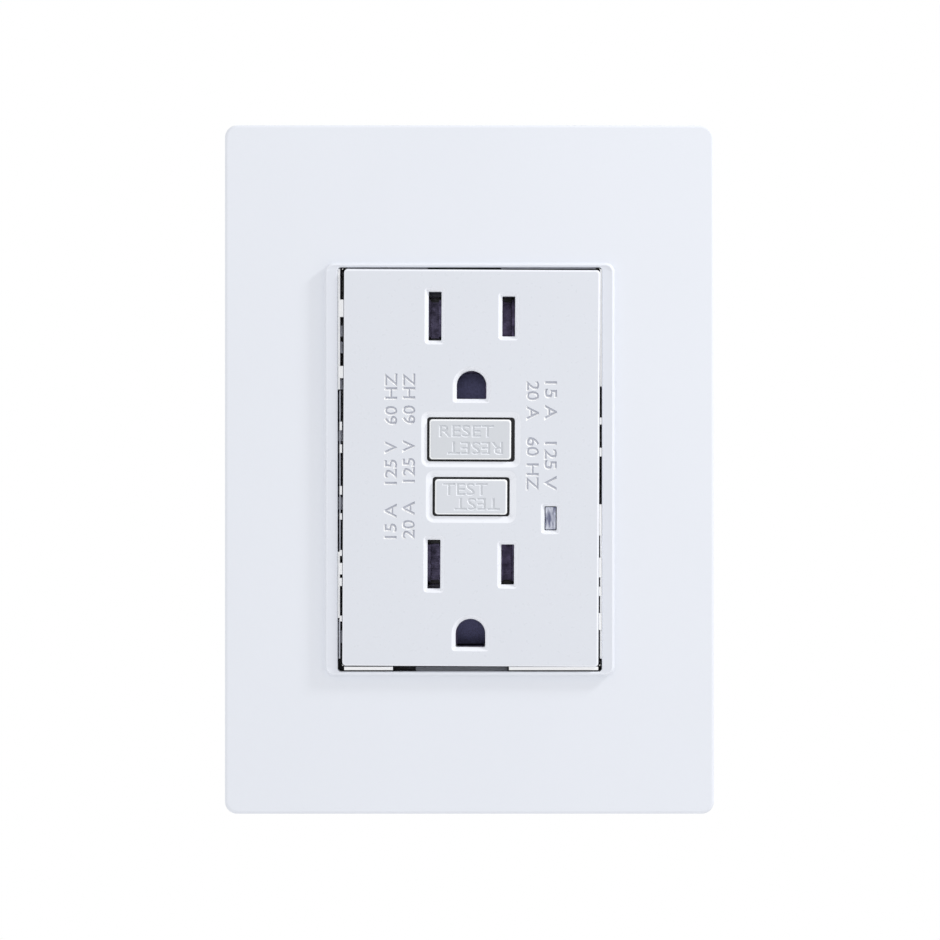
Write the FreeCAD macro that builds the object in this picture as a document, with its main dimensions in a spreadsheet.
"""Ground fault circuit interrupter outlet behind a clip-on wall plate.

Millimetres. X to the right, Z up, and the face looks towards -Y. The wall plane is y = 0, and the
origin lies midway between the two device screws on that plane.
"""
import FreeCAD, Part
import math
import os
import re
import Sketcher

doc = FreeCAD.newDocument("outlet")

SIZES = {
    # wall plate and the raised collar round its opening
    "plate_width": 85.0,
    "plate_height": 120.0,
    "plate_rise": 7.0,
    "plate_wall": 1.8,
    "plate_corner": 2.0,
    "plate_edge": 1.0,
    "plate_draft": 3.2,
    "plate_shift_x": -0.3,
    "plate_shift_z": -0.4,
    "opening_gap_side": 0.8,
    "opening_gap_end": 0.7,
    "opening_corner": 0.6,
    "collar_side": 2.05,
    "collar_end": 0.6,
    "collar_rise": 1.1,
    "collar_corner": 1.4,
    "crest_width": 0.35,
    "band_drop": 0.4,
    "hook_inset_side": 11.5,
    "hook_inset_end": 14.0,
    "hook_width": 8.0,
    "hook_thick": 1.6,
    "hook_catch": 0.8,
    "hook_height": 0.8,
    "hook_clear": 0.9,
    # mounting frame behind the plate
    "frame_inset_side": 3.0,
    "frame_inset_end": 3.5,
    "frame_thick": 1.2,
    "frame_gap": 0.4,
    "rail_width": 1.8,
    "rail_rise": 2.6,
    "rail_length": 66.0,
    "notch_pitch": 5.4,
    "notch_width": 2.3,
    "notch_depth": 1.7,
    "end_rib_width": 12.0,
    "end_rib_x": 14.0,
    "frame_screw_z": 48.42,
    "small_head_radius": 3.4,
    "small_head_rise": 1.4,
    "small_head_crown": 2.4,
    "head_clear": 0.4,
    "frame_screw_past": 4.0,
    "screw_radius": 1.75,
    "screw_root_radius": 1.55,
    "screw_fit": 0.08,
    "driver_slot": 0.9,
    "slot_depth": 0.9,
    # device screws and their retainers
    "device_screw_z": 41.65,
    "device_screw_length": 26.0,
    "tip_radius": 1.0,
    "tip_length": 0.8,
    "ear_slot_width": 4.2,
    "ear_slot_length": 6.6,
    "retainer_size": 8.0,
    "retainer_thick": 0.35,
    "stud_start": 0.45,
    # face
    "face_width": 44.1,
    "face_height": 68.3,
    "face_front": 8.6,
    "face_wall": 2.4,
    "face_corner": 0.6,
    "face_edge": 0.4,
    "skirt_wall": 1.6,
    "row_upper": 26.0,
    "row_lower": -16.74,
    "blade_offset": 6.35,
    "blade_slot": 2.2,
    "neutral_slot": 8.4,
    "hot_slot": 6.9,
    "slot_lead": 0.65,
    "ground_drop": 11.95,
    "ground_radius": 2.55,
    "ground_flat": 2.3,
    "press_rib_width": 16.0,
    "press_rib_thick": 1.2,
    "press_rib_inset": 0.8,
    "cover_hole_depth": 5.2,
    # buttons
    "reset_z": 4.77,
    "reset_width": 14.08,
    "reset_height": 6.8,
    "reset_gap": 0.4,
    "reset_lead": 0.78,
    "test_z": -5.08,
    "test_width": 12.56,
    "test_height": 6.13,
    "test_gap": 0.3,
    "test_lead": 0.9,
    "button_proud": 0.6,
    "button_corner": 0.5,
    "button_edge": 0.35,
    "button_flange": 0.75,
    "flange_thick": 1.0,
    "button_play": 0.2,
    "stem_width": 4.0,
    "stem_height": 2.4,
    # indicator
    "lens_x": 13.72,
    "lens_z": -8.75,
    "lens_width": 1.94,
    "lens_height": 4.0,
    "lens_gap": 0.12,
    "lens_lead": 0.4,
    "lens_depth": 4.0,
    "lens_sink": 0.1,
    "lens_flange": 0.8,
    "lamp_gap": 0.1,
    "led_radius": 1.4,
    "led_length": 3.6,
    "lead_width": 0.45,
    "lead_pitch": 1.27,
    # strap and grounding
    "strap_thick": 1.2,
    "strap_gap": 0.3,
    "strap_length": 65.0,
    "ear_width": 24.0,
    "ear_inset": 7.1,
    "ear_corner": 1.5,
    "stem_clear": 0.6,
    "lamp_notch_shift": 1.0,
    "lamp_notch_side": 1.3,
    "blade_window_width": 5.5,
    "blade_window_height": 11.0,
    "ground_window": 3.3,
    "rivet_radius": 0.95,
    "rivet_head": 1.6,
    "rivet_head_rise": 0.5,
    "rivet_fit": 0.05,
    "rivet_offset": 5.5,
    "clip_thick": 0.6,
    "clip_width": 5.4,
    "clip_length": 14.4,
    "clip_depth": 9.5,
    "ground_pin_width": 4.8,
    "tab_x": -8.0,
    "tab_clear": 1.8,
    "tab_width": 8.0,
    "tab_depth": 9.5,
    "tab_hole_shift": 0.4,
    "washer_size": 7.6,
    "washer_thick": 1.0,
    "ground_screw_length": 3.5,
    "ground_head_radius": 3.6,
    # contact carrier
    "carrier_flange": 1.5,
    "carrier_inset": 0.6,
    "carrier_inset_end": 0.4,
    "carrier_depth": 13.0,
    "channel_inner": 4.4,
    "channel_outer": 14.2,
    "channel_depth": 11.3,
    "channel_end": 3.8,
    "arm_clear": 0.6,
    "arm_window_above": 2.0,
    "arm_window_below": 2.8,
    "link_shift": 0.7,
    "link_clear": 0.3,
    "clip_clear": 0.3,
    "leaf_clear": 0.4,
    "lead_clear": 0.25,
    "well_above": 1.9,
    "well_below": 1.4,
    # contacts
    "blade_thick": 1.5,
    "leaf_thick": 0.6,
    "leaf_width": 6.4,
    "leaf_start": 1.5,
    "web_depth": 10.2,
    "bus_x": 12.4,
    "bus_start": 5.0,
    "contact_x": 11.0,
    "contact_radius": 1.4,
    "contact_thick": 0.8,
    "contact_gap": 0.05,
    "pad_margin": 0.6,
    "pad_height": 6.0,
    "arm_width": 4.4,
    "arm_thick": 0.5,
    "arm_end_z": 2.5,
    "arm_root_z": -13.0,
    "root_gap": 0.08,
    "link_height": 4.2,
    # terminals
    "terminal_inset": 3.0,
    "terminal_thick": 1.0,
    "terminal_width": 9.0,
    "terminal_screw_radius": 2.0,
    "terminal_head_radius": 3.9,
    "terminal_head": 2.2,
    "terminal_head_slope": 0.5,
    "terminal_screw_length": 5.0,
    "clamp_size": 8.0,
    "clamp_thick": 1.2,
    "clamp_gap": 0.1,
    "load_y": 17.6,
    "load_z": -20.0,
    "line_y": 24.8,
    "line_z": 17.0,
    # line conductors
    "bar_thick": 1.2,
    "bar_width": 1.6,
    "bar_offset": 1.0,
    "front_run_y": 16.2,
    "run_thick": 0.8,
    "outer_run_inset": 5.6,
    "cup_gap": 0.3,
    "post_depth": 1.9,
    # reset mechanism
    "pin_radius": 1.5,
    "pin_fit": 0.1,
    "pin_seat": 2.0,
    "pin_press": 0.02,
    "pin_point": 0.7,
    "pin_neck": 1.0,
    "pin_head": 1.3,
    "neck_start": 21.9,
    "neck_end": 25.3,
    "pin_end": 26.4,
    "spring_radius": 2.3,
    "spring_wire": 0.5,
    "spring_turns": 7,
    "spring_seat": 8.0,
    "spring_well": 3.2,
    "block_width": 12.0,
    "block_height": 7.0,
    "block_start": 13.2,
    "block_end": 26.5,
    "wing_reach": 13.5,
    "wing_height": 2.2,
    "wing_thick": 1.4,
    "wing_above": 0.4,
    "toe_margin": 0.5,
    "latch_y": 24.0,
    "latch_thick": 0.8,
    "latch_slot_fit": 0.05,
    "latch_width": 6.0,
    "latch_hole": 1.65,
    "latch_offset": 0.5,
    "latch_top": 10.0,
    "latch_bottom": -1.0,
    # solenoid
    "plunger_gap": 1.05,
    "plunger_radius": 1.55,
    "plunger_head": 2.6,
    "plunger_head_thick": 1.0,
    "plunger_length": 22.0,
    "plunger_coil": 2.15,
    "plunger_wire": 0.35,
    "plunger_turns": 3,
    "bobbin_low": -20.0,
    "bobbin_high": -5.0,
    "bobbin_flange": 4.4,
    "bobbin_cheek": 0.8,
    "bobbin_tube": 2.2,
    "bobbin_bore": 1.65,
    "winding_radius": 4.0,
    "yoke_thick": 1.0,
    "yoke_gap": 0.1,
    "yoke_width": 7.6,
    # test switch
    "test_well_width": 6.0,
    "test_well_depth": 8.0,
    "test_leaf_root": -15.0,
    "test_leaf_thick": 0.4,
    "test_leaf_width": 3.0,
    "test_leaf_y": 3.0,
    "test_leaf_past": 0.4,
    "test_leaf_dip": 1.78,
    "test_foot_height": 1.22,
    # circuit board and what stands on it
    "board_y": 18.0,
    "board_thick": 1.6,
    "board_width": 32.8,
    "board_inset_end": 1.4,
    "board_notch_inset": 4.2,
    "board_clear": 0.5,
    "core_z": 20.0,
    "core_outer": 7.6,
    "core_inner": 2.5,
    "core_depth": 9.2,
    "core_wall": 0.8,
    "ring_inner": 4.3,
    "ring_outer": 5.9,
    "ring_thick": 2.4,
    "coil_wrap": 0.7,
    "ring_gap": 0.2,
    "ring_start": 0.15,
    "chip_x": -12.0,
    "chip_z": -12.0,
    "chip_width": 4.0,
    "chip_height": 5.0,
    "chip_rise": 0.2,
    "chip_top": 1.8,
    "chip_span": 6.0,
    "chip_leg_rise": 0.5,
    "chip_legs": 4,
    "film_x": 10.5,
    "film_z": -7.0,
    "film_width": 5.0,
    "film_depth": 9.5,
    "film_height": 10.0,
    "can_x": 9.6,
    "can_z": -25.0,
    "can_radius": 3.0,
    "can_depth": 9.0,
    "thyristor_radius": 2.3,
    "thyristor_rise": 1.6,
    "thyristor_length": 4.6,
    "thyristor_flat": 1.2,
    "pin_width": 0.4,
    "varistor_x": -13.4,
    "varistor_z": 1.4,
    "varistor_radius": 4.7,
    "varistor_thick": 3.4,
    "varistor_rise": 5.2,
    "varistor_feet": 2.5,
    "foot_width": 0.6,
    "foot_rise": 2.6,
    "small_x": 8.6,
    "small_pitch": 2.1,
    "small_low_z": 5.6,
    "small_high_z": 0.6,
    "small_radius": 0.85,
    "small_length": 3.4,
    "small_rise": 1.2,
    "small_lead_inset": 0.3,
    "small_lead": 0.5,
    # rear housing
    "rear_width": 42.0,
    "rear_height": 66.0,
    "rear_end": 33.0,
    "rear_wall": 1.6,
    "rear_corner": 2.5,
    "window_depth": 9.4,
    "window_height": 11.0,
    "wire_hole": 1.25,
    "wire_offset": 2.9,
    "wire_inset": 1.3,
    "case_screw_inset": 4.0,
    "case_screw_inset_end": 3.4,
    "case_screw_radius": 1.3,
    "case_boss": 2.7,
    "case_gap": 0.2,
    "case_head_radius": 2.4,
    "case_head_crown": 1.8,
    "case_slot": 0.7,
    "case_head_rise": 1.2,
    "case_fit": 0.08,
    # a fit that lets one piece pass another, and how far a cutting tool runs past what it cuts
    "close_fit": 0.05,
    "past": 1.0,
}

# sizes that follow from others
FOLLOWING = {
    "opening_width": "face_width + 2 * opening_gap_side",
    "opening_height": "face_height + 2 * opening_gap_end",
    "frame_width": "plate_width - 2 * frame_inset_side",
    "frame_height": "plate_height - 2 * frame_inset_end",
    "hook_x": "plate_width / 2 - hook_inset_side",
    "hook_z": "plate_height / 2 - hook_inset_end",
    "ear_reach": "plate_height / 2 - ear_inset",
    "terminal_x": "rear_width / 2 - terminal_inset",
    "terminal_face": "terminal_x + terminal_thick",
    "carrier_width": "2 * (terminal_x - carrier_inset)",
    "carrier_height": "rear_height - 2 * (rear_wall + carrier_inset_end)",
    "board_height": "rear_height - 2 * (rear_wall + board_inset_end)",
    "board_notch": "terminal_x - board_notch_inset",
    "outer_run_x": "rear_width / 2 - outer_run_inset",
    "case_screw_x": "rear_width / 2 - case_screw_inset",
    "case_screw_z": "rear_height / 2 - case_screw_inset_end",
    "tab_z": "-rear_height / 2 - tab_clear",
    "strap_width": "2 * (case_screw_x - case_boss - strap_gap)",
}

sheet = doc.addObject("Spreadsheet::Sheet", "sizes")
cells = {word: str(number) for word, number in SIZES.items()}
cells.update({word: f"={text}" for word, text in FOLLOWING.items()})
for row, (word, cell) in enumerate(cells.items(), start=1):
    sheet.set(f"A{row}", word.replace("_", " "))
    sheet.set(f"B{row}", cell)
    sheet.setAlias(f"B{row}", word)
doc.recompute()

# a cylinder stands along Z, and these turns lay it along X or Y
TURNS = {
    "x": FreeCAD.Rotation(FreeCAD.Vector(0, 1, 0), 90),
    "y": FreeCAD.Rotation(FreeCAD.Vector(1, 0, 0), -90),
    "z": FreeCAD.Rotation(),
}


def formula(text):
    """Write the size names in a formula as references to the sheet."""
    def reference(match):
        return f"sizes.{match.group()}" if match.group() in cells else match.group()
    return re.sub(r"[a-z][a-z_]*", reference, str(text))


def bind(thing, field, text):
    """Tie one field of an object to a formula of sizes."""
    thing.setExpression(field, formula(text))


def place(thing, at, turn="z"):
    """Put an object's corner or axis end at three formulas."""
    thing.Placement = FreeCAD.Placement(FreeCAD.Vector(), TURNS[turn])
    for letter, text in zip("xyz", at):
        bind(thing, f"Placement.Base.{letter}", text)


def block(name, across, deep, high):
    """A box between two formulas along each axis."""
    box = doc.addObject("Part::Box", name)
    for field, (low, top) in zip(("Length", "Width", "Height"), (across, deep, high)):
        bind(box, field, f"({top}) - ({low})")
    place(box, (across[0], deep[0], high[0]))
    return box


def centred(name, x, width, deep, z, height):
    """A box centred on x and z."""
    across = (f"({x}) - ({width}) / 2", f"({x}) + ({width}) / 2")
    high = (f"({z}) - ({height}) / 2", f"({z}) + ({height}) / 2")
    return block(name, across, deep, high)


def rod(name, turn, at, radius, length):
    """A cylinder that starts at a point and runs along one axis."""
    cylinder = doc.addObject("Part::Cylinder", name)
    bind(cylinder, "Radius", radius)
    bind(cylinder, "Height", length)
    place(cylinder, at, turn)
    return cylinder


def taper(name, turn, at, radius, end_radius, length):
    """A cone that starts at a point and runs along one axis."""
    cone = doc.addObject("Part::Cone", name)
    bind(cone, "Radius1", radius)
    bind(cone, "Radius2", end_radius)
    bind(cone, "Height", length)
    place(cone, at, turn)
    return cone


def fuse(name, *pieces):
    """One solid from pieces that meet."""
    joined = doc.addObject("Part::MultiFuse", name)
    joined.Shapes = list(pieces)
    joined.Refine = True
    return joined


def cut(name, base, *tools):
    """A piece less its tools."""
    result = doc.addObject("Part::Cut", name)
    result.Base = base
    result.Tool = tools[0] if len(tools) == 1 else fuse(f"{name}_tools", *tools)
    result.Refine = True
    return result


def group(name, *pieces):
    """Separate solids that share one name."""
    together = doc.addObject("Part::Compound", name)
    together.Links = list(pieces)
    return together


def mirrored(name, source):
    """The same piece on the other side of the centre plane."""
    copy = doc.addObject("Part::Mirroring", name)
    copy.Source = source
    copy.Normal = (1, 0, 0)
    return copy


def ring(name, turn, at, outer, inner, length):
    """A round tube."""
    blank = rod(f"{name}_outer", turn, at, outer, length)
    return cut(name, blank, rod(f"{name}_bore", turn, at, inner, length))


def helix(name, radius, wire, start, length, turns, turn="y", x="0", z="0"):
    """A coil spring along one axis."""
    path = doc.addObject("Part::Helix", f"{name}_path")
    bind(path, "Radius", radius)
    bind(path, "Height", f"({length}) - ({wire})")
    bind(path, "Pitch", f"(({length}) - ({wire})) / {turns}")
    section = doc.addObject("Part::Circle", f"{name}_section")
    bind(section, "Radius", f"({wire}) / 2")
    section.Placement = FreeCAD.Placement(FreeCAD.Vector(), FreeCAD.Rotation(FreeCAD.Vector(1, 0, 0), 90))
    bind(section, "Placement.Base.x", radius)
    coil = doc.addObject("Part::Sweep", name)
    coil.Sections = [section]
    coil.Spine = (path, [])
    coil.Solid = True
    coil.Frenet = True
    begin = f"({start}) + ({wire}) / 2"
    at = (x, begin, z) if turn == "y" else (x, z, begin)
    place(coil, at, turn)
    return coil


class Moulding:
    """A body grown and sunk with outlines that face the front."""

    def __init__(self, name):
        self.body = doc.addObject("PartDesign::Body", name)
        self.count = 0

    def outline(self, kind, depth, x, z, **size):
        """A sketch at a depth behind the wall plane, centred on x and z."""
        self.count += 1
        sketch = self.body.newObject("Sketcher::SketchObject", f"{self.body.Name}_outline_{self.count}")
        plane = [item for item in self.body.Origin.OriginFeatures if item.Role == "XZ_Plane"][0]
        sketch.AttachmentSupport = [(plane, "")]
        sketch.MapMode = "FlatFace"
        bind(sketch, "AttachmentOffset.Base.x", x)
        bind(sketch, "AttachmentOffset.Base.y", z)
        bind(sketch, "AttachmentOffset.Base.z", f"-({depth})")
        kind(sketch, **size)
        return sketch

    def grow(self, name, deep, outline, x="0", z="0", draft=None, **size):
        """Add material between two depths. A draft narrows it towards the front."""
        pad = self.body.newObject("PartDesign::Pad", f"{self.body.Name}_{name}")
        pad.Profile = self.outline(outline, deep[1], x, z, **size)
        bind(pad, "Length", f"({deep[1]}) - ({deep[0]})")
        if draft:
            bind(pad, "TaperAngle", f"-{draft}")
        self.body.Tip = pad
        return self

    def sink(self, name, deep, outline, x="0", z="0", **size):
        """Take material away between two depths."""
        pocket = self.body.newObject("PartDesign::Pocket", f"{self.body.Name}_{name}")
        pocket.Profile = self.outline(outline, deep[0], x, z, **size)
        bind(pocket, "Length", f"({deep[1]}) - ({deep[0]})")
        self.body.Tip = pocket
        return self

    def dress(self, kind, name, field, amount, chosen):
        """Round or bevel the edges that the test picks."""
        doc.recompute()
        base = self.body.Tip
        names = [f"Edge{number}" for number, edge in enumerate(base.Shape.Edges, start=1) if chosen(edge)]
        feature = self.body.newObject(kind, f"{self.body.Name}_{name}")
        feature.Base = (base, names)
        bind(feature, field, amount)
        self.body.Tip = feature
        return self


def add_loop(sketch, points):
    """Four or more straight lines, end to end."""
    first = sketch.GeometryCount
    count = len(points)
    for number, point in enumerate(points):
        follower = points[(number + 1) % count]
        sketch.addGeometry(Part.LineSegment(FreeCAD.Vector(*point, 0), FreeCAD.Vector(*follower, 0)), False)
    for number in range(count):
        after = first + (number + 1) % count
        sketch.addConstraint(Sketcher.Constraint("Coincident", first + number, 2, after, 1))
    return first


def dimension(sketch, text, *reference):
    """A constraint whose value is a formula."""
    number = sketch.addConstraint(Sketcher.Constraint(*reference, 1.0))
    bind(sketch, f"Constraints[{number}]", text)


def rectangle(sketch, width, height):
    """A rectangle about the sketch's origin."""
    add_loop(sketch, ((-5, -5), (5, -5), (5, 5), (-5, 5)))
    for line in (0, 2):
        sketch.addConstraint(Sketcher.Constraint("Horizontal", line))
    for line in (1, 3):
        sketch.addConstraint(Sketcher.Constraint("Vertical", line))
    sketch.addConstraint(Sketcher.Constraint("Symmetric", 0, 1, 1, 2, -1, 1))
    dimension(sketch, width, "DistanceX", 0, 1, 0, 2)
    dimension(sketch, height, "DistanceY", 1, 1, 1, 2)


def rounded(sketch, width, height, corner):
    """A rectangle with round corners about the sketch's origin."""
    half = 5
    turn = 1
    inner = half - turn
    quarter = math.pi / 2
    ends = (
        ((-inner, -half), (inner, -half)),
        ((half, -inner), (half, inner)),
        ((inner, half), (-inner, half)),
        ((-half, inner), (-half, -inner)),
    )
    centres = ((inner, -inner), (inner, inner), (-inner, inner), (-inner, -inner))
    for start, end in ends:
        sketch.addGeometry(Part.LineSegment(FreeCAD.Vector(*start, 0), FreeCAD.Vector(*end, 0)), False)
    for number, centre in enumerate(centres):
        circle = Part.Circle(FreeCAD.Vector(*centre, 0), FreeCAD.Vector(0, 0, 1), turn)
        sketch.addGeometry(Part.ArcOfCircle(circle, (number - 1) * quarter, number * quarter), False)
    for number in range(4):
        sketch.addConstraint(Sketcher.Constraint("Tangent", number, 2, 4 + number, 1))
        sketch.addConstraint(Sketcher.Constraint("Tangent", 4 + number, 2, (number + 1) % 4, 1))
    for line in (0, 2):
        sketch.addConstraint(Sketcher.Constraint("Horizontal", line))
    for line in (1, 3):
        sketch.addConstraint(Sketcher.Constraint("Vertical", line))
    for arc in (5, 6, 7):
        sketch.addConstraint(Sketcher.Constraint("Equal", 4, arc))
    sketch.addConstraint(Sketcher.Constraint("Symmetric", 4, 3, 6, 3, -1, 1))
    dimension(sketch, corner, "Radius", 4)
    dimension(sketch, f"({width}) - 2 * ({corner})", "DistanceX", 7, 3, 4, 3)
    dimension(sketch, f"({height}) - 2 * ({corner})", "DistanceY", 4, 3, 5, 3)


def disc(sketch, radius):
    """A circle about the sketch's origin."""
    sketch.addGeometry(Part.Circle(FreeCAD.Vector(), FreeCAD.Vector(0, 0, 1), 3), False)
    sketch.addConstraint(Sketcher.Constraint("Coincident", 0, 3, -1, 1))
    dimension(sketch, radius, "Radius", 0)


def arch(sketch, radius, flat):
    """A half circle about the sketch's origin on a short straight part that ends flat below it."""
    foot = ((-3, 0), (-3, -2), (3, -2), (3, 0))
    for start, end in zip(foot, foot[1:]):
        sketch.addGeometry(Part.LineSegment(FreeCAD.Vector(*start, 0), FreeCAD.Vector(*end, 0)), False)
    circle = Part.Circle(FreeCAD.Vector(), FreeCAD.Vector(0, 0, 1), 3)
    sketch.addGeometry(Part.ArcOfCircle(circle, 0, math.pi), False)
    sketch.addConstraint(Sketcher.Constraint("Coincident", 0, 2, 1, 1))
    sketch.addConstraint(Sketcher.Constraint("Coincident", 1, 2, 2, 1))
    sketch.addConstraint(Sketcher.Constraint("Tangent", 2, 2, 3, 1))
    sketch.addConstraint(Sketcher.Constraint("Tangent", 3, 2, 0, 1))
    sketch.addConstraint(Sketcher.Constraint("Vertical", 0))
    sketch.addConstraint(Sketcher.Constraint("Horizontal", 1))
    sketch.addConstraint(Sketcher.Constraint("Coincident", 3, 3, -1, 1))
    dimension(sketch, radius, "Radius", 3)
    dimension(sketch, flat, "DistanceY", 1, 1, -1, 1)


def on_plane(edge, y):
    """Whether an edge lies in a plane that faces the front."""
    box = edge.BoundBox
    return abs(box.YMin - y) < 1e-4 and abs(box.YMax - y) < 1e-4


def near(edge, x, z, reach_x, reach_z):
    """Whether an edge's box lies within a reach of a point."""
    box = edge.BoundBox
    inside_x = x - reach_x < box.XMin and box.XMax < x + reach_x
    return inside_x and z - reach_z < box.ZMin and box.ZMax < z + reach_z


FINISHED = []


def finish(name, thing):
    """Name a sub-part for its file."""
    thing.Label = name
    FINISHED.append(thing)
    return thing


ROWS = {"upper": "row_upper", "lower": "row_lower"}


def make_wall_plate():
    """The cover plate: a shallow box with a collar round its opening and four hooks."""
    plate = Moulding("plate_shell")
    middle = {"x": "plate_shift_x", "z": "plate_shift_z"}
    plate.grow("shell", ("-plate_rise", "0"), rounded, width="plate_width", height="plate_height",
               corner="plate_corner", draft="plate_draft", **middle)
    plate.dress("PartDesign::Fillet", "soft_edge", "Radius", "plate_edge",
                lambda edge: on_plane(edge, -SIZES["plate_rise"]))
    plate.sink("hollow", ("plate_wall - plate_rise", "0"), rectangle,
               width="plate_width - 2 * plate_wall", height="plate_height - 2 * plate_wall", **middle)
    plate.grow("collar", ("-plate_rise - collar_rise", "-plate_rise"), rounded,
               width="opening_width + 2 * collar_side", height="opening_height + 2 * collar_end",
               corner="collar_corner", **middle)
    plate.sink("opening", ("-plate_rise - collar_rise", "plate_wall - plate_rise"), rounded,
               width="opening_width", height="opening_height", corner="opening_corner", **middle)
    slope = plate.body.newObject("PartDesign::SubtractiveLoft", "plate_shell_band")
    slope.Profile = plate.outline(rectangle, "-plate_rise - collar_rise", **middle,
                                  width="opening_width + 2 * (collar_side - crest_width)",
                                  height="opening_height + 2 * (collar_end - crest_width)")
    slope.Sections = [plate.outline(rectangle, "band_drop - plate_rise - collar_rise", **middle,
                                    width="opening_width", height="opening_height")]
    slope.Ruled = True
    plate.body.Tip = slope
    hooks = []
    back = "close_fit - strap_thick"
    for side in (-1, 1):
        for end in (-1, 1):
            x = f"plate_shift_x + {side} * hook_x"
            z = f"plate_shift_z + {end} * hook_z"
            name = f"plate_hook_{len(hooks)}"
            hooks.append(centred(name, x, "hook_thick",
                                 ("plate_wall - plate_rise", f"{back} + hook_height"), z, "hook_width"))
            catch = centred(f"{name}_catch", f"{x} + {side} * hook_catch", "hook_thick",
                            (back, f"{back} + hook_height"), z, "hook_width")
            hooks.append(catch)
    finish("wall_plate", fuse("wall_plate", plate.body, *hooks))


def make_sub_frame():
    """The mounting frame: a flat ring with toothed rails beside the device."""
    frame = Moulding("frame_plate")
    front = "-strap_thick - frame_thick"
    frame.grow("plate", (front, "-strap_thick"), rounded, width="frame_width", height="frame_height",
               corner="plate_corner")
    window = {"width": "face_width + 2 * frame_gap", "height": "face_height + 2 * frame_gap"}
    frame.sink("window", (front, "-strap_thick"), rectangle, **window)
    for side in (-1, 1):
        name = "left" if side < 0 else "right"
        for end in (-1, 1):
            spot = {"x": f"{side} * (hook_x + hook_catch / 2)", "z": f"{end} * hook_z"}
            frame.sink(f"{name}_slot_{end + 1}", (front, "-strap_thick"), rectangle, **spot,
                       width="hook_thick + hook_catch + 2 * hook_clear",
                       height="hook_width + 2 * hook_clear")
    for end in (-1, 1):
        frame.sink(f"screw_hole_{end + 1}", (front, "-strap_thick"), disc, z=f"{end} * frame_screw_z",
                   radius="screw_radius + screw_fit")
        frame.sink(f"head_hole_{end + 1}", (front, "-strap_thick"), disc, z=f"{end} * device_screw_z",
                   radius="small_head_radius + head_clear")
    pieces = [frame.body]
    top = f"{front} - rail_rise"
    for side in (-1, 1):
        name = "left" if side < 0 else "right"
        x = f"{side} * (face_width / 2 + frame_gap + rail_width / 2)"
        rail = centred(f"rail_{name}", x, "rail_width", (top, front), "0", "rail_length")
        notches = []
        for number in range(-5, 6):
            notches.append(centred(f"notch_{name}_{number + 5}", x, "rail_width + past",
                                   (f"{top} - past", f"{top} + notch_depth"), f"{number} * notch_pitch",
                                   "notch_width"))
        pieces.append(cut(f"toothed_rail_{name}", rail, *notches))
        for end in (-1, 1):
            z = f"{end} * (face_height / 2 + frame_gap + rail_width / 2)"
            pieces.append(centred(f"end_rib_{name}_{end + 1}", f"{side} * end_rib_x", "end_rib_width",
                                  (top, front), z, "rail_width"))
    finish("sub_frame", fuse("sub_frame", *pieces))


def small_head(name, z, seat):
    """A screw head with a driver slot, its seat at a depth."""
    front = f"({seat}) - small_head_rise"
    dome = taper(f"{name}_dome", "y", ("0", front, z), "small_head_crown", "small_head_radius",
                 "small_head_rise")
    slot = centred(f"{name}_slot", "0", "driver_slot", (f"{front} - past", f"{front} + slot_depth"), z,
                   "3 * small_head_radius")
    return cut(f"{name}_head", dome, slot)


def make_frame_screws():
    """Two short screws that hold the frame to the strap."""
    screws = []
    for end in (-1, 1):
        z = f"{end} * frame_screw_z"
        name = f"frame_screw_{end + 1}"
        head = small_head(name, z, "-strap_thick - frame_thick")
        shank = rod(f"{name}_shank", "y", ("0", "-strap_thick - frame_thick", z), "screw_radius",
                    "frame_thick + strap_thick + frame_screw_past")
        screws.append(fuse(name, head, shank))
    finish("frame_screws", group("frame_screws", *screws))


def make_device_screws():
    """Two long screws that hold the strap to the wall box, and the squares that keep them in place."""
    screws = []
    squares = []
    for end in (-1, 1):
        z = f"{end} * device_screw_z"
        name = f"device_screw_{end + 1}"
        head = small_head(name, z, "-strap_thick")
        neck = rod(f"{name}_neck", "y", ("0", "-strap_thick", z), "screw_root_radius",
                   "strap_thick + stud_start")
        thread = rod(f"{name}_thread", "y", ("0", "stud_start", z), "screw_radius", "device_screw_length")
        tip = taper(f"{name}_tip", "y", ("0", "stud_start + device_screw_length", z), "screw_radius",
                    "tip_radius", "tip_length")
        screws.append(fuse(name, head, neck, thread, tip))
        square = centred(f"retainer_{end + 1}_sheet", "0", "retainer_size", ("0", "retainer_thick"), z,
                         "retainer_size")
        hole = rod(f"retainer_{end + 1}_hole", "y", ("0", "-past", z), "screw_root_radius + close_fit",
                   "retainer_thick + 2 * past")
        squares.append(cut(f"retainer_{end + 1}", square, hole))
    finish("device_screws", group("device_screws", *screws))
    finish("screw_retainers", group("screw_retainers", *squares))


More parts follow.
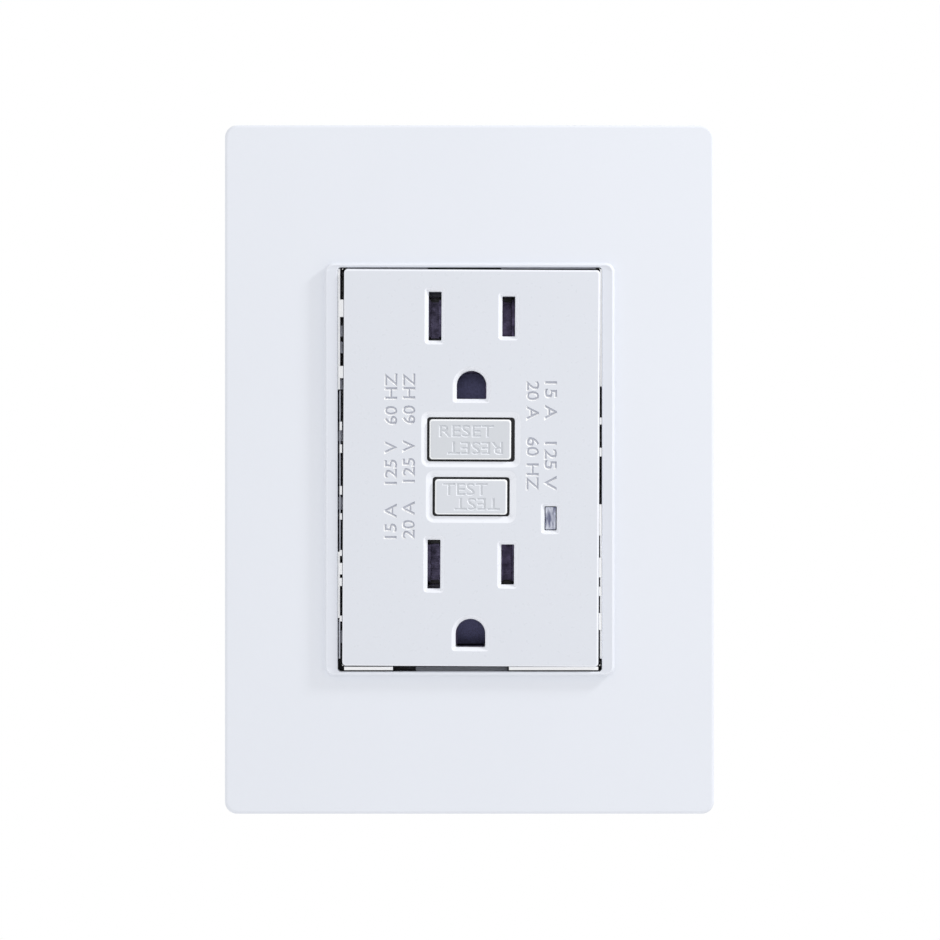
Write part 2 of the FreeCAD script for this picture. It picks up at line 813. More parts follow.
def make_front_cover():
    """The face: a deep lid with blade slots, ground holes, button wells and a lens window."""
    cover = Moulding("face_shell")
    face = "-face_front"
    back = "face_wall - face_front"
    cover.grow("lid", (face, "0"), rounded, width="face_width", height="face_height", corner="face_corner")
    cover.dress("PartDesign::Fillet", "soft_edge", "Radius", "face_edge",
                lambda edge: on_plane(edge, -SIZES["face_front"]))
    cover.sink("hollow", (back, "0"), rectangle, width="face_width - 2 * skirt_wall",
               height="face_height - 2 * skirt_wall")
    cover.sink("ear_notch", ("-strap_thick - close_fit", "0"), rectangle, width="ear_width + 2 * case_gap",
               height="face_height + 2 * past")
    for name, level in ROWS.items():
        cover.sink(f"{name}_neutral", (face, back), rectangle, x="-blade_offset", z=level,
                   width="blade_slot", height="neutral_slot")
        cover.sink(f"{name}_hot", (face, back), rectangle, x="blade_offset", z=level,
                   width="blade_slot", height="hot_slot")
        cover.sink(f"{name}_ground", (face, back), arch, z=f"{level} - ground_drop",
                   radius="ground_radius", flat="ground_flat")
    cover.sink("reset_well", (face, back), rounded, z="reset_z", width="reset_width + 2 * reset_gap",
               height="reset_height + 2 * reset_gap", corner="button_corner")
    cover.sink("test_well", (face, back), rounded, z="test_z", width="test_width + 2 * test_gap",
               height="test_height + 2 * test_gap", corner="button_corner")
    cover.sink("lens_window", (face, back), rectangle, x="lens_x", z="lens_z",
               width="lens_width + 2 * lens_gap", height="lens_height + 2 * lens_gap")

    def front_edge(edge):
        return on_plane(edge, -SIZES["face_front"])

    def at_reset(edge):
        reach = SIZES["reset_gap"] + SIZES["past"]
        return front_edge(edge) and near(edge, 0, SIZES["reset_z"], SIZES["reset_width"] / 2 + reach,
                                         SIZES["reset_height"] / 2 + reach)

    def at_test(edge):
        reach = SIZES["test_gap"] + SIZES["past"]
        return front_edge(edge) and near(edge, 0, SIZES["test_z"], SIZES["test_width"] / 2 + reach,
                                         SIZES["test_height"] / 2 + reach)

    def at_lens(edge):
        return front_edge(edge) and near(edge, SIZES["lens_x"], SIZES["lens_z"], SIZES["lens_width"],
                                         SIZES["lens_height"])

    def at_slots(edge):
        margin = SIZES["skirt_wall"]
        inside = near(edge, 0, 0, SIZES["face_width"] / 2 - margin, SIZES["face_height"] / 2 - margin)
        return front_edge(edge) and inside and not (at_reset(edge) or at_test(edge) or at_lens(edge))

    cover.dress("PartDesign::Chamfer", "slot_lead", "Size", "slot_lead", at_slots)
    cover.dress("PartDesign::Chamfer", "reset_bevel", "Size", "reset_lead", at_reset)
    cover.dress("PartDesign::Chamfer", "test_bevel", "Size", "test_lead", at_test)
    cover.dress("PartDesign::Chamfer", "lens_bevel", "Size", "lens_lead", at_lens)
    pieces = [cover.body]
    for end in (-1, 1):
        pieces.append(centred(f"press_rib_{end + 1}", "0", "press_rib_width", (back, "-strap_thick"),
                              f"{end} * (strap_length / 2 - press_rib_inset)", "press_rib_thick"))
    holes = []
    for side in (-1, 1):
        for end in (-1, 1):
            x = f"{side} * case_screw_x"
            z = f"{end} * case_screw_z"
            name = f"cover_boss_{side + 1}_{end + 1}"
            pieces.append(rod(name, "y", (x, back, z), "case_boss", "face_front - face_wall"))
            holes.append(rod(f"{name}_hole", "y", (x, "-cover_hole_depth", z),
                             "case_screw_radius + case_fit", "cover_hole_depth"))
    finish("front_cover", cut("front_cover", fuse("face_with_bosses", *pieces), *holes))


def make_button(name, z, width, height):
    """A push button: a cap with soft edges and a flange that keeps it behind the face."""
    cap = Moulding(f"{name}_cap")
    front = "-face_front - button_proud"
    seat = "face_wall - face_front + button_play"
    cap.grow("cap", (front, seat), rounded, z=z, width=width, height=height, corner="button_corner")
    cap.dress("PartDesign::Fillet", "soft_edge", "Radius", "button_edge",
              lambda edge: on_plane(edge, -SIZES["face_front"] - SIZES["button_proud"]))
    cap.grow("flange", (seat, f"{seat} + flange_thick"), rounded, z=z,
             width=f"{width} + 2 * button_flange", height=f"{height} + 2 * button_flange",
             corner="button_corner")
    return cap, f"{seat} + flange_thick"


def make_buttons():
    """The reset button on its pin and the test button with its stem."""
    reset, back = make_button("reset", "reset_z", "reset_width", "reset_height")
    hole = rod("reset_pin_hole", "y", ("0", f"{back} - pin_seat", "reset_z"), "pin_radius + pin_press",
               "pin_seat + past")
    finish("reset_button", cut("reset_button", reset.body, hole))
    test, back = make_button("test", "test_z", "test_width", "test_height")
    stem = centred("test_stem", "0", "stem_width", (back, "test_leaf_y - contact_gap"), "test_z",
                   "stem_height")
    finish("test_button", fuse("test_button", test.body, stem))
    shaft = rod("pin_shaft", "y", ("0", f"{back} - pin_seat", "reset_z"), "pin_radius",
                f"neck_start - ({back}) + pin_seat")
    neck = rod("pin_neck_rod", "y", ("0", "neck_start", "reset_z"), "pin_neck", "neck_end - neck_start")
    head = taper("pin_tip", "y", ("0", "neck_end", "reset_z"), "pin_head", "pin_point",
                 "pin_end - neck_end")
    finish("reset_pin", fuse("reset_pin", shaft, neck, head))
    finish("reset_spring", helix("reset_spring", "spring_radius", "spring_wire", back,
                                 f"spring_seat - ({back})", "spring_turns", "y", z="reset_z"))


def make_indicator():
    """The lens in the face and the lamp behind it."""
    pipe_end = "lens_sink - face_front + lens_depth"
    lens = centred("lens_pipe", "lens_x", "lens_width", ("lens_sink - face_front", pipe_end), "lens_z",
                   "lens_height")
    seat = "face_wall - face_front"
    flange = centred("lens_rim", "lens_x", "lens_width + 2 * lens_flange", (seat, f"{seat} + lens_flange"),
                     "lens_z", "lens_height + 2 * lens_flange")
    finish("indicator_lens", fuse("indicator_lens", lens, flange))
    start = f"{pipe_end} + lamp_gap"
    bulb = rod("led_bulb", "y", ("lens_x", start, "lens_z"), "led_radius", "led_length")
    pieces = [bulb]
    for end in (-1, 1):
        pieces.append(centred(f"led_lead_{end + 1}", "lens_x", "lead_width",
                              (f"{start} + led_length", "board_y"), f"lens_z + {end} * lead_pitch / 2",
                              "lead_width"))
    finish("indicator_led", fuse("indicator_led", *pieces))


def make_strap():
    """The steel strap: ears with slots, windows for the contacts, and a folded ground tab."""
    strap = Moulding("strap_sheet")
    deep = ("-strap_thick", "0")
    strap.grow("middle", deep, rectangle, width="strap_width", height="strap_length")
    strap.grow("ears", deep, rounded, width="ear_width", height="2 * ear_reach",
               corner="ear_corner")
    for name, level in ROWS.items():
        for side in (-1, 1):
            strap.sink(f"{name}_blade_{side + 1}", deep, rectangle, x=f"{side} * blade_offset", z=level,
                       width="blade_window_width", height="blade_window_height")
            strap.sink(f"{name}_rivet_{side + 1}", deep, disc, x=f"{side} * rivet_offset",
                       z=f"{level} - ground_drop", radius="rivet_radius + rivet_fit")
        strap.sink(f"{name}_pin", deep, disc, z=f"{level} - ground_drop", radius="ground_window")
    strap.sink("reset_hole", deep, disc, z="reset_z", radius="spring_well")
    strap.sink("test_hole", deep, rectangle, z="test_z", width="stem_width + 2 * stem_clear",
               height="stem_height + 2 * stem_clear")
    strap.sink("lamp_notch", deep, rectangle, x="lens_x + lamp_notch_shift", z="lens_z",
               width="2 * (led_radius + lamp_notch_side)", height="2 * (led_radius + stem_clear)")
    for end in (-1, 1):
        strap.sink(f"frame_hole_{end + 1}", deep, disc, z=f"{end} * frame_screw_z",
                   radius="screw_radius + screw_fit")
        strap.sink(f"ear_slot_{end + 1}", deep, rounded, z=f"{end} * device_screw_z", width="ear_slot_length",
                   height="ear_slot_width", corner="ear_slot_width / 2.01")
    tab = centred("ground_tab", "tab_x", "tab_width", ("-strap_thick", "tab_depth"),
                  "tab_z - strap_thick / 2", "strap_thick")
    hole = rod("ground_tab_hole", "z",
               ("tab_x", "tab_depth / 2 + tab_hole_shift", "tab_z - strap_thick - past"),
               "terminal_screw_radius + screw_fit", "strap_thick + 2 * past")
    finish("mounting_strap", cut("mounting_strap", fuse("strap_with_tab", strap.body, tab), hole))


def make_ground_parts():
    """The clips that grip the ground pins, their rivets, and the green screw with its washer."""
    rivets = []
    for name, level in ROWS.items():
        z = f"{level} - ground_drop"
        plate = centred(f"{name}_clip_plate", "0", "clip_length", ("0", "clip_thick"), z, "clip_width")
        mouth = centred(f"{name}_clip_mouth", "0", "ground_pin_width", ("-past", "clip_thick + past"), z,
                        "ground_pin_width")
        holes = [mouth]
        leaves = []
        for side in (-1, 1):
            holes.append(rod(f"{name}_clip_hole_{side + 1}", "y", (f"{side} * rivet_offset", "-past", z),
                             "rivet_radius + rivet_fit", "clip_thick + 2 * past"))
            leaves.append(centred(f"{name}_clip_leaf_{side + 1}",
                                  f"{side} * (ground_pin_width + clip_thick) / 2", "clip_thick",
                                  ("0", "clip_depth"), z, "clip_width - 2 * toe_margin"))
            shank = rod(f"{name}_rivet_shank_{side + 1}", "y", (f"{side} * rivet_offset", "-strap_thick", z),
                        "rivet_radius", "strap_thick + clip_thick")
            front = rod(f"{name}_rivet_front_{side + 1}", "y",
                        (f"{side} * rivet_offset", "-strap_thick - rivet_head_rise", z), "rivet_head",
                        "rivet_head_rise")
            rear = rod(f"{name}_rivet_rear_{side + 1}", "y", (f"{side} * rivet_offset", "clip_thick", z),
                       "rivet_head", "rivet_head_rise")
            rivets.append(fuse(f"{name}_rivet_{side + 1}", shank, front, rear))
        clip = fuse(f"{name}_ground_contact", cut(f"{name}_clip_sheet", plate, *holes), *leaves)
        finish(f"{name}_ground_contact", clip)
    finish("ground_rivets", group("ground_rivets", *rivets))
    y = "tab_depth / 2 + tab_hole_shift"
    washer_low = "tab_z - strap_thick - washer_thick"
    sheet_piece = centred("washer_sheet", "tab_x", "washer_size",
                          (f"{y} - washer_size / 2", f"{y} + washer_size / 2"),
                          f"{washer_low} + washer_thick / 2", "washer_thick")
    hole = rod("washer_hole", "z", ("tab_x", y, f"{washer_low} - past"), "terminal_screw_radius + screw_fit",
               "washer_thick + 2 * past")
    finish("ground_washer", cut("ground_washer", sheet_piece, hole))
    seat = f"{washer_low} - close_fit"
    shank = rod("ground_screw_shank", "z", ("tab_x", y, seat), "terminal_screw_radius",
                "ground_screw_length")
    head = rod("ground_screw_head", "z", ("tab_x", y, f"{seat} - terminal_head"), "ground_head_radius",
               "terminal_head")
    slot = block("ground_screw_slot", ("tab_x - 2 * ground_head_radius", "tab_x + 2 * ground_head_radius"),
                 (f"{y} - driver_slot / 2", f"{y} + driver_slot / 2"),
                 (f"{seat} - terminal_head - past", f"{seat} - terminal_head + slot_depth"))
    finish("ground_screw", cut("ground_screw", fuse("ground_screw_body", shank, head), slot))


def make_carrier():
    """The contact carrier: a flange behind the strap and a deep block with the contact channels."""
    carrier = Moulding("carrier_block")
    carrier.grow("flange", ("0", "carrier_flange"), rounded, width="face_width", height="face_height",
                 corner="face_corner")
    carrier.grow("block", ("carrier_flange", "carrier_depth"), rectangle, width="carrier_width",
                 height="carrier_height")
    channel_width = "channel_outer - channel_inner"
    channel_x = "(channel_outer + channel_inner) / 2"
    channel = {"z": "(row_upper + row_lower) / 2", "width": channel_width,
               "height": "row_upper - row_lower + 2 * channel_end"}
    arm_window = {"z": "(arm_end_z + arm_window_above + arm_root_z - arm_window_below) / 2",
                  "width": "arm_width + 2 * arm_clear",
                  "height": "arm_end_z + arm_window_above - arm_root_z + arm_window_below"}
    link_z = "row_lower - link_shift"
    for side in (-1, 1):
        name = "left" if side < 0 else "right"
        carrier.sink(f"{name}_channel", ("0", "channel_depth"), rectangle, x=f"{side} * ({channel_x})",
                     **channel)
        carrier.sink(f"{name}_arm_window", ("channel_depth - past", "carrier_depth"), rectangle,
                     x=f"{side} * contact_x", **arm_window)
        carrier.sink(f"{name}_link_notch", ("web_depth - lamp_gap", "carrier_depth"), rectangle,
                     x=f"{side} * (carrier_width / 2)", z=link_z,
                     width="carrier_width - 2 * channel_outer + 2 * arm_clear",
                     height="leaf_width - 2 * link_clear")
        for end in (-1, 1):
            carrier.sink(f"{name}_screw_hole_{end + 1}", ("0", "carrier_flange"), disc,
                         x=f"{side} * case_screw_x", z=f"{end} * case_screw_z",
                         radius="case_screw_radius + case_fit")
            carrier.sink(f"{name}_corner_{end + 1}", ("carrier_flange", "carrier_depth"), disc,
                         x=f"{side} * case_screw_x", z=f"{end} * case_screw_z",
                         radius="case_boss + case_gap")
    for name, level in ROWS.items():
        ground = f"{level} - ground_drop"
        carrier.sink(f"{name}_clip_seat", ("0", "clip_thick + rivet_head_rise + clip_clear"), rectangle,
                     z=ground, width="clip_length + 2 * clip_clear", height="clip_width + 2 * clip_clear")
        carrier.sink(f"{name}_pin_well", ("0", "carrier_depth"), rectangle, z=ground,
                     width="ground_pin_width + 2 * (clip_thick + leaf_clear)", height="clip_width")
    carrier.sink("spring_well", ("0", "spring_seat"), disc, z="reset_z", radius="spring_well")
    carrier.sink("pin_hole", ("spring_seat", "carrier_depth"), disc, z="reset_z",
                 radius="pin_radius + pin_fit")
    well_top = "(test_z + stem_height / 2 + well_above)"
    well_bottom = "(test_leaf_root - well_below)"
    carrier.sink("test_well", ("0", "test_well_depth"), rectangle, z=f"({well_top} + {well_bottom}) / 2",
                 width="test_well_width", height=f"{well_top} - {well_bottom}")
    carrier.sink("lamp_hole", ("0", "carrier_depth"), rectangle, x="lens_x", z="lens_z",
                 width="lead_width + 2 * lead_clear", height="lead_pitch + lead_width + 2 * lead_clear")
    finish("mid_housing", carrier.body)


def make_buses():
    """The hot and neutral buses, their fixed contacts and their load terminal plates."""
    inner = "blade_offset - blade_thick / 2 - leaf_thick"
    outer = "blade_offset + blade_thick / 2 + leaf_thick"
    web = ("web_depth", "web_depth + leaf_thick")
    pieces = []
    for name, level in ROWS.items():
        high = (f"{level} - leaf_width / 2", f"{level} + leaf_width / 2")
        leaf = ("leaf_start", "web_depth + leaf_thick")
        pieces.append(block(f"{name}_inner_leaf", (inner, f"{inner} + leaf_thick"), leaf, high))
        pieces.append(block(f"{name}_outer_leaf", (f"{outer} - leaf_thick", outer), leaf, high))
        pieces.append(block(f"{name}_web", (inner, "bus_x + leaf_thick"), web, high))
    pieces.append(block("bus_strip", ("bus_x", "bus_x + leaf_thick"), ("bus_start", "web_depth + leaf_thick"),
                        ("row_lower - leaf_width / 2", "row_upper + leaf_width / 2")))
    pieces.append(centred("contact_pad", "contact_x", "2 * (contact_radius + pad_margin)", web, "0",
                          "pad_height"))
    pieces.append(block("load_link", ("bus_x", "terminal_face"), web,
                        ("row_lower - leaf_width / 2", "row_lower - leaf_width / 2 + link_height")))
    pieces.append(block("load_plate", ("terminal_x", "terminal_face"),
                        ("web_depth", "load_y + terminal_width / 2"),
                        ("load_z - terminal_width / 2", "load_z + terminal_width / 2")))
    hole = rod("load_plate_hole", "x", ("terminal_x - past", "load_y", "load_z"),
               "terminal_screw_radius + screw_fit", "terminal_thick + 2 * past")
    hot = cut("hot_bus", fuse("hot_bus_blank", *pieces), hole)
    finish("hot_bus", hot)
    finish("neutral_bus", mirrored("neutral_bus", hot))
    start = "web_depth + leaf_thick"
    disc_right = rod("fixed_disc_right", "y", ("contact_x", start, "0"), "contact_radius", "contact_thick")
    finish("fixed_contacts", group("fixed_contacts", disc_right, mirrored("fixed_disc_left", disc_right)))
    arm_y = f"{start} + 2 * contact_thick + contact_gap"
    moving = rod("hot_arm_contact", "y", ("contact_x", f"{start} + contact_thick + contact_gap", "0"),
                 "contact_radius", "contact_thick")
    finish("hot_arm_contact", moving)
    finish("neutral_arm_contact", mirrored("neutral_arm_contact", moving))
    arm = block("hot_arm", ("contact_x - arm_width / 2", "contact_x + arm_width / 2"),
                (arm_y, f"{arm_y} + arm_thick"), ("arm_root_z", "arm_end_z"))
    finish("hot_arm", arm)
    finish("neutral_arm", mirrored("neutral_arm", arm))
    return arm_y


def make_line_terminals(arm_y):
    """The line terminal plates, and the conductors through the sensor to the contact arms."""
    core_back = "board_y + board_thick + core_depth"
    strap_y = (f"{core_back} + cup_gap", f"{core_back} + cup_gap + run_thick")
    bar_x = ("bar_offset - bar_thick / 2", "bar_offset + bar_thick / 2")
    bar_z = ("core_z - bar_width / 2", "core_z + bar_width / 2")
    front = ("front_run_y", "front_run_y + run_thick")
    run_x = ("outer_run_x", "outer_run_x + bar_width")
    post_z = ("arm_root_z - root_gap - post_depth", "arm_root_z - root_gap")
    plate = block("line_plate", ("terminal_x", "terminal_face"),
                  ("line_y - terminal_width / 2", strap_y[1]),
                  ("line_z - terminal_width / 2", "line_z + terminal_width / 2"))
    pieces = [
        plate,
        block("line_strap", (bar_x[0], "terminal_face"), strap_y, bar_z),
        block("line_bar", bar_x, ("front_run_y", strap_y[1]), bar_z),
        block("line_front_run", (bar_x[0], run_x[1]), front, bar_z),
        block("line_side_run", run_x, front, (post_z[0], bar_z[1])),
        block("line_foot", ("contact_x - arm_width / 2", run_x[1]), front, post_z),
        block("line_post", ("contact_x - arm_width / 2", "contact_x + arm_width / 2"),
              (arm_y, "front_run_y + run_thick"), post_z),
    ]
    hole = rod("line_plate_hole", "x", ("terminal_x - past", "line_y", "line_z"),
               "terminal_screw_radius + screw_fit", "terminal_thick + 2 * past")
    hot = cut("line_hot_terminal", fuse("line_hot_blank", *pieces), hole)
    finish("line_hot_terminal", hot)
    finish("line_neutral_terminal", mirrored("line_neutral_terminal", hot))


def make_terminal_screws():
    """Four terminal screws with the clamps that they draw against the terminal plates."""
    for name, y, z in (("load", "load_y", "load_z"), ("line", "line_y", "line_z")):
        seat = "terminal_face + close_fit"
        shank = rod(f"{name}_shank", "x", (f"{seat} - terminal_screw_length", y, z),
                    "terminal_screw_radius", "terminal_screw_length")
        head = taper(f"{name}_head", "x", (seat, y, z), "terminal_head_radius",
                     "terminal_head_radius - terminal_head_slope", "terminal_head")
        slot = block(f"{name}_slot",
                     (f"{seat} + terminal_head - slot_depth", f"{seat} + terminal_head + past"),
                     (f"{y} - driver_slot / 2", f"{y} + driver_slot / 2"),
                     (f"{z} - 2 * terminal_head_radius", f"{z} + 2 * terminal_head_radius"))
        screw = cut(f"{name}_hot_screw", fuse(f"{name}_screw_body", shank, head), slot)
        finish(f"{name}_hot_screw", screw)
        finish(f"{name}_neutral_screw", mirrored(f"{name}_neutral_screw", screw))
        sheet_piece = block(f"{name}_clamp_sheet",
                            ("terminal_x - clamp_gap - clamp_thick", "terminal_x - clamp_gap"),
                            (f"{y} - clamp_size / 2", f"{y} + clamp_size / 2"),
                            (f"{z} - clamp_size / 2", f"{z} + clamp_size / 2"))
        hole = rod(f"{name}_clamp_hole", "x", ("terminal_x - clamp_gap - clamp_thick - past", y, z),
                   "terminal_screw_radius + screw_fit", "clamp_thick + 2 * past")
        clamp = cut(f"{name}_hot_clamp", sheet_piece, hole)
        finish(f"{name}_hot_clamp", clamp)
        finish(f"{name}_neutral_clamp", mirrored(f"{name}_neutral_clamp", clamp))


def make_latch(arm_y):
    """The latch block that lifts the contact arms, and the plate that grips the reset pin."""
    arm_back = f"{arm_y} + arm_thick + contact_gap"
    core = centred("latch_core", "0", "block_width", ("block_start", "block_end"), "reset_z", "block_height")
    wing_top = "arm_end_z + wing_above"
    wing = block("latch_wing", ("-wing_reach", "wing_reach"), ("block_start", "block_start + wing_thick"),
                 (f"{wing_top} - wing_height", wing_top))
    pieces = [core, wing]
    for side in (-1, 1):
        pieces.append(centred(f"latch_toe_{side + 1}", f"{side} * contact_x", "arm_width - 2 * toe_margin",
                              (arm_back, "block_start + wing_thick"), f"{wing_top} - wing_height / 2",
                              "wing_height"))
    bore = rod("latch_bore", "y", ("0", "block_start - past", "reset_z"), "pin_radius + pin_fit",
               "block_end - block_start + 2 * past")
    slot = centred("latch_channel", "0", "latch_width + 2 * latch_slot_fit",
                   ("latch_y - latch_slot_fit", "latch_y + latch_thick + latch_slot_fit"), "reset_z",
                   "block_height + 2 * past")
    finish("latch_block", cut("latch_block", fuse("latch_blank", *pieces), bore, slot))
    plate = block("latch_sheet", ("-latch_width / 2", "latch_width / 2"),
                  ("latch_y", "latch_y + latch_thick"), ("latch_bottom", "latch_top"))
    hole = rod("latch_sheet_hole", "y", ("0", "latch_y - past", "reset_z - latch_offset"), "latch_hole",
               "latch_thick + 2 * past")
    finish("latch_plate", cut("latch_plate", plate, hole))


def make_solenoid():
    """The trip solenoid: bobbin, winding, yoke, plunger and its spring."""
    axis_y = "latch_y + latch_thick / 2"
    low = ("0", axis_y, "bobbin_low")
    tube = rod("bobbin_sleeve", "z", low, "bobbin_tube", "bobbin_high - bobbin_low")
    cheek_low = rod("bobbin_cheek_low", "z", low, "bobbin_flange", "bobbin_cheek")
    cheek_high = rod("bobbin_cheek_high", "z", ("0", axis_y, "bobbin_high - bobbin_cheek"), "bobbin_flange",
                     "bobbin_cheek")
    bore = rod("bobbin_bore_tool", "z", ("0", axis_y, "bobbin_low - past"), "bobbin_bore",
               "bobbin_high - bobbin_low + 2 * past")
    finish("solenoid_bobbin", cut("solenoid_bobbin", fuse("bobbin_blank", tube, cheek_low, cheek_high), bore))
    winding = ring("solenoid_winding", "z", ("0", axis_y, "bobbin_low + bobbin_cheek"), "winding_radius",
                   "bobbin_tube", "bobbin_high - bobbin_low - 2 * bobbin_cheek")
    finish("solenoid_winding", winding)
    yoke_y = ("board_y + board_thick", f"{axis_y} + bobbin_flange + yoke_gap + yoke_thick")
    outer = centred("yoke_blank", "0", "yoke_width", yoke_y, "(bobbin_low + bobbin_high) / 2",
                    "bobbin_high - bobbin_low + 2 * yoke_thick")
    inner = centred("yoke_room", "0", "yoke_width + 2 * past",
                    (f"({yoke_y[0]}) - past", f"({yoke_y[1]}) - yoke_thick"),
                    "(bobbin_low + bobbin_high) / 2", "bobbin_high - bobbin_low")
    hole = rod("yoke_hole", "z", ("0", axis_y, "bobbin_low - yoke_thick - past"), "bobbin_bore",
               "bobbin_high - bobbin_low + 2 * (yoke_thick + past)")
    finish("solenoid_yoke", cut("solenoid_yoke", outer, inner, hole))
    top = "latch_bottom - plunger_gap"
    bottom = f"{top} - plunger_length"
    body = rod("plunger_body", "z", ("0", axis_y, bottom), "plunger_radius", "plunger_length")
    head = rod("plunger_button", "z", ("0", axis_y, f"{bottom} - plunger_head_thick"), "plunger_head",
               "plunger_head_thick")
    finish("plunger", fuse("plunger", body, head))
    finish("plunger_spring", helix("plunger_spring", "plunger_coil", "plunger_wire", bottom,
                                   f"bobbin_low - yoke_thick - ({bottom})", "plunger_turns", "z", z=axis_y))


def make_test_switch():
    """The spring leaf under the test button, its foot, and the contact that it touches."""
    leaf_y = ("test_leaf_y", "test_leaf_y + test_leaf_thick")
    leaf_end = "test_z + stem_height / 2 + test_leaf_past"
    leaf = block("test_leaf", ("-test_leaf_width / 2", "test_leaf_width / 2"), leaf_y,
                 ("test_leaf_root", leaf_end))
    finish("test_leaf", leaf)
    stop_y = "test_leaf_y + test_leaf_thick + test_leaf_dip"
    stop = block("test_stop", ("-test_leaf_width / 2", "test_leaf_width / 2"), (stop_y, "test_well_depth"),
                 ("test_z", leaf_end))
    foot = block("test_foot", ("-test_leaf_width / 2", "test_leaf_width / 2"),
                 ("test_leaf_y", "test_well_depth"),
                 ("test_leaf_root - root_gap - test_foot_height", "test_leaf_root - root_gap"))
    finish("test_contact", group("test_contact", stop, foot))


def make_board():
    """The circuit board, with holes for the latch, the line bars and the clamps."""
    top = "board_y + board_thick"
    board = centred("board_sheet", "0", "board_width", ("board_y", top), "0", "board_height")
    through = ("board_y - past", f"{top} + past")
    tools = [
        centred("board_latch_hole", "0", "block_width + 2 * board_clear", through, "reset_z",
                "block_height + 2 * board_clear"),
        rod("board_bar_hole", "y", ("0", through[0], "core_z"), "core_inner", "board_thick + 2 * past"),
    ]
    for side in (-1, 1):
        tools.append(centred(f"board_notch_{side + 1}", f"{side} * board_width / 2",
                             "board_width - 2 * board_notch", through, "load_z",
                             "terminal_width + 2 * board_clear"))
        for end in (-1, 1):
            tools.append(rod(f"board_corner_{side + 1}_{end + 1}", "y",
                             (f"{side} * case_screw_x", through[0], f"{end} * case_screw_z"),
                             "case_boss + case_gap", "board_thick + 2 * past"))
    finish("circuit_board", cut("circuit_board", board, *tools))


def make_components():
    """The parts that stand on the back of the circuit board."""
    top = "board_y + board_thick"
    chip = centred("chip_body", "chip_x", "chip_width", (f"{top} + chip_rise", f"{top} + chip_top"),
                   "chip_z", "chip_height")
    legs = []
    for number in range(SIZES["chip_legs"]):
        legs.append(centred(f"chip_leg_{number}", "chip_x", "chip_span", (top, f"{top} + chip_leg_rise"),
                            f"chip_z + ({number} - (chip_legs - 1) / 2) * lead_pitch", "lead_width"))
    finish("control_chip", fuse("control_chip", chip, *legs))
    film = centred("film_box", "film_x", "film_width", (top, f"{top} + film_depth"), "film_z", "film_height")
    finish("film_capacitor", film)
    can = rod("capacitor_can", "y", ("can_x", top, "can_z"), "can_radius", "can_depth")
    finish("electrolytic_capacitor", can)
    coin = rod("varistor_coin", "x", ("varistor_x", f"{top} + varistor_rise", "varistor_z"),
               "varistor_radius", "varistor_thick")
    feet = []
    for end in (-1, 1):
        feet.append(centred(f"varistor_lead_{end + 1}", "varistor_x + varistor_thick / 2", "foot_width",
                            (top, f"{top} + foot_rise"), f"varistor_z + {end} * varistor_feet", "foot_width"))
    finish("varistor", fuse("varistor", coin, *feet))
    case_y = (f"{top} + thyristor_rise", f"{top} + thyristor_rise + thyristor_length")
    case = rod("thyristor_round", "y", ("-can_x", case_y[0], "can_z"), "thyristor_radius", "thyristor_length")
    flat = centred("thyristor_side", "-can_x", "3 * thyristor_radius", case_y,
                   "can_z - thyristor_flat - thyristor_radius", "2 * thyristor_radius")
    pins = []
    for number in (-1, 0, 1):
        pins.append(centred(f"thyristor_pin_{number + 1}", f"{number} * lead_pitch - can_x", "pin_width",
                            (top, f"{case_y[0]} + pin_width"), "can_z", "pin_width"))
    finish("thyristor", fuse("thyristor", cut("thyristor_case", case, flat), *pins))
    for kind, count, low in (("resistors", 4, "small_low_z"), ("diodes", 3, "small_high_z")):
        items = []
        for number in range(count):
            name = f"{kind}_{number}"
            x = f"small_x + {number} * small_pitch"
            body = rod(f"{name}_body", "z", (x, f"{top} + small_rise", low), "small_radius", "small_length")
            leads = []
            for end, z in (("low", f"{low} + small_lead_inset"),
                           ("high", f"{low} + small_length - small_lead_inset")):
                leads.append(centred(f"{name}_lead_{end}", x, "small_lead", (top, f"{top} + small_rise"), z,
                                     "small_lead"))
            items.append(fuse(name, body, *leads))
        finish(kind, group(kind, *items))


def make_sensor():
    """The current sensor: a cup with two wound cores round the line bars."""
    start = "board_y + board_thick"
    cup = ring("core_cup_wall", "y", ("0", start, "core_z"), "core_outer", "core_outer - core_wall",
               "core_depth")
    floor = ring("core_cup_floor", "y", ("0", f"{start} + core_depth - core_wall", "core_z"), "core_outer",
                 "core_inner", "core_wall")
    sleeve = ring("core_cup_sleeve", "y", ("0", start, "core_z"), "core_inner + core_wall", "core_inner",
                  "core_depth")
    finish("core_housing", fuse("core_housing", cup, floor, sleeve))
    pitch = "ring_thick + 2 * coil_wrap + ring_gap"
    for number, name in enumerate(("sense", "neutral")):
        begin = f"{start} + ring_start + coil_wrap + {number} * ({pitch})"
        core = ring(f"{name}_core", "y", ("0", begin, "core_z"), "ring_outer", "ring_inner", "ring_thick")
        finish(f"{name}_core", core)
        wrap = ring(f"{name}_wrap", "y", ("0", f"{begin} - coil_wrap", "core_z"), "ring_outer + coil_wrap",
                    "ring_inner - coil_wrap", "ring_thick + 2 * coil_wrap")
        room = ring(f"{name}_room", "y", ("0", begin, "core_z"), "ring_outer", "ring_inner",
                    "ring_thick + coil_wrap + past")
        finish(f"{name}_winding", cut(f"{name}_winding", wrap, room))


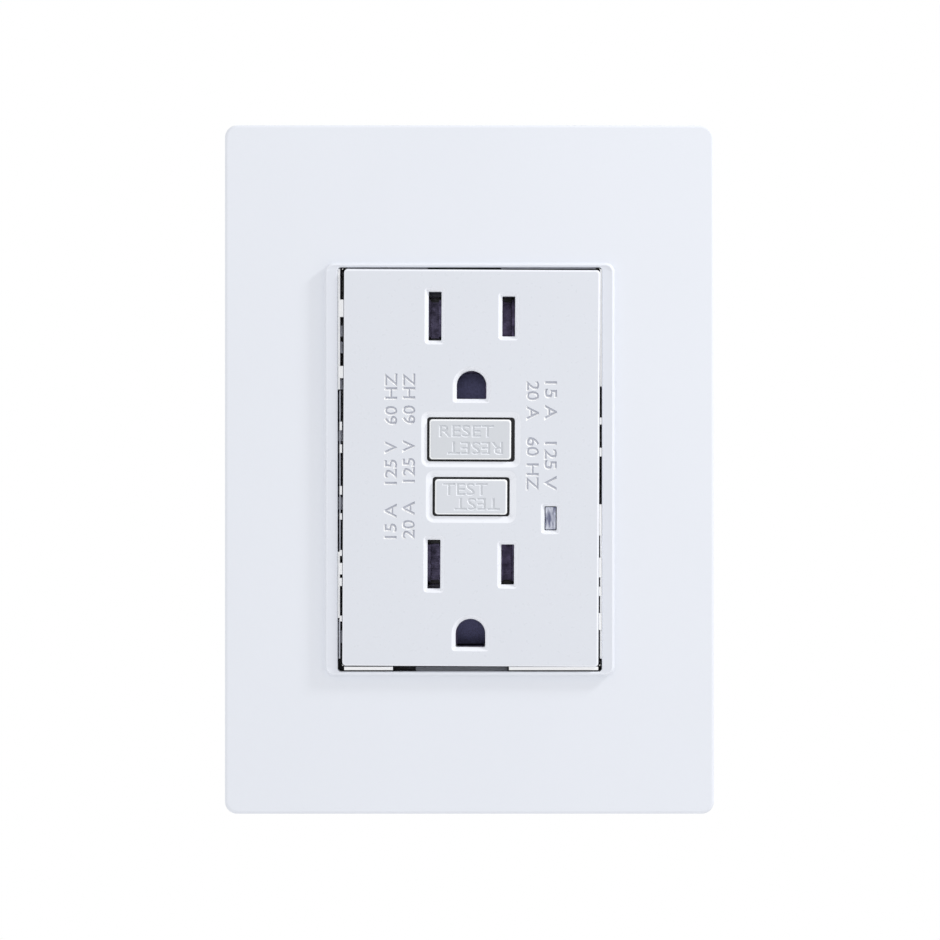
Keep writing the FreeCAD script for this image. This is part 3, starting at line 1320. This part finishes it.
def make_rear_housing():
    """The rear housing: a deep cup with side windows for the terminals, wire holes and screw bosses."""
    rear = Moulding("rear_cup")
    floor = "rear_end - rear_wall"
    rear.grow("shell", ("carrier_flange", "rear_end"), rounded, width="rear_width", height="rear_height",
              corner="rear_corner")
    rear.sink("hollow", ("carrier_flange", floor), rectangle, width="rear_width - 2 * rear_wall",
              height="rear_height - 2 * rear_wall")
    for side in (-1, 1):
        name = "left" if side < 0 else "right"
        for end, y, z in (("load", "load_y", "load_z"), ("line", "line_y", "line_z")):
            rear.sink(f"{name}_{end}_window", (f"{y} - window_depth / 2", f"{y} + window_depth / 2"),
                      rectangle, x=f"{side} * rear_width / 2", z=z, width="4 * rear_wall",
                      height="window_height")
            for way in (-1, 1):
                rear.sink(f"{name}_{end}_wire_{way + 1}", (floor, "rear_end"), disc,
                          x=f"{side} * (terminal_x - wire_inset)", z=f"{z} + {way} * wire_offset",
                          radius="wire_hole")
    pieces = [rear.body]
    holes = []
    screws = []
    for side in (-1, 1):
        for end in (-1, 1):
            x = f"{side} * case_screw_x"
            z = f"{end} * case_screw_z"
            name = f"case_{side + 1}_{end + 1}"
            pieces.append(rod(f"{name}_boss", "y", (x, "carrier_flange", z), "case_boss",
                              "rear_end - carrier_flange"))
            holes.append(rod(f"{name}_hole", "y", (x, "0", z), "case_screw_radius + case_fit",
                             "rear_end + past"))
            start = "head_clear / 2 - cover_hole_depth"
            shank = rod(f"{name}_shank", "y", (x, start, z), "case_screw_radius", f"rear_end - ({start})")
            head = taper(f"{name}_head", "y", (x, "rear_end", z), "case_head_radius", "case_head_crown",
                         "case_head_rise")
            slot = centred(f"{name}_slot", x, "3 * case_head_radius",
                           ("rear_end + case_head_rise / 2", "rear_end + 2 * case_head_rise"), z, "case_slot")
            screws.append(cut(f"{name}_screw", fuse(f"{name}_screw_body", shank, head), slot))
    finish("rear_housing", cut("rear_housing", fuse("rear_with_bosses", *pieces), *holes))
    finish("housing_screws", group("housing_screws", *screws))


make_wall_plate()
make_sub_frame()
make_frame_screws()
make_device_screws()
make_front_cover()
make_buttons()
make_indicator()
make_strap()
make_ground_parts()
make_carrier()
arm_level = make_buses()
make_line_terminals(arm_level)
make_terminal_screws()
make_latch(arm_level)
make_solenoid()
make_test_switch()
make_board()
make_components()
make_sensor()
make_rear_housing()
doc.recompute()

for item in doc.Objects:
    if "Invalid" in item.State or "Error" in item.State:
        raise RuntimeError(f"{item.Name} failed: {item.State}")
os.makedirs("parts", exist_ok=True)
for item in FINISHED:
    shape = item.Shape
    if shape.isNull() or not shape.isValid() or not shape.Solids:
        raise RuntimeError(f"{item.Label} has no valid solid")
    shape.exportStep(f"parts/{item.Label}.step")
    box = shape.BoundBox
    print(f"{item.Label:24s} solids {len(shape.Solids)} volume {shape.Volume:9.1f}",
          f"x {box.XMin:7.2f} {box.XMax:7.2f} y {box.YMin:6.2f} {box.YMax:6.2f}",
          f"z {box.ZMin:7.2f} {box.ZMax:7.2f}")
print(len(FINISHED), "sub-parts")
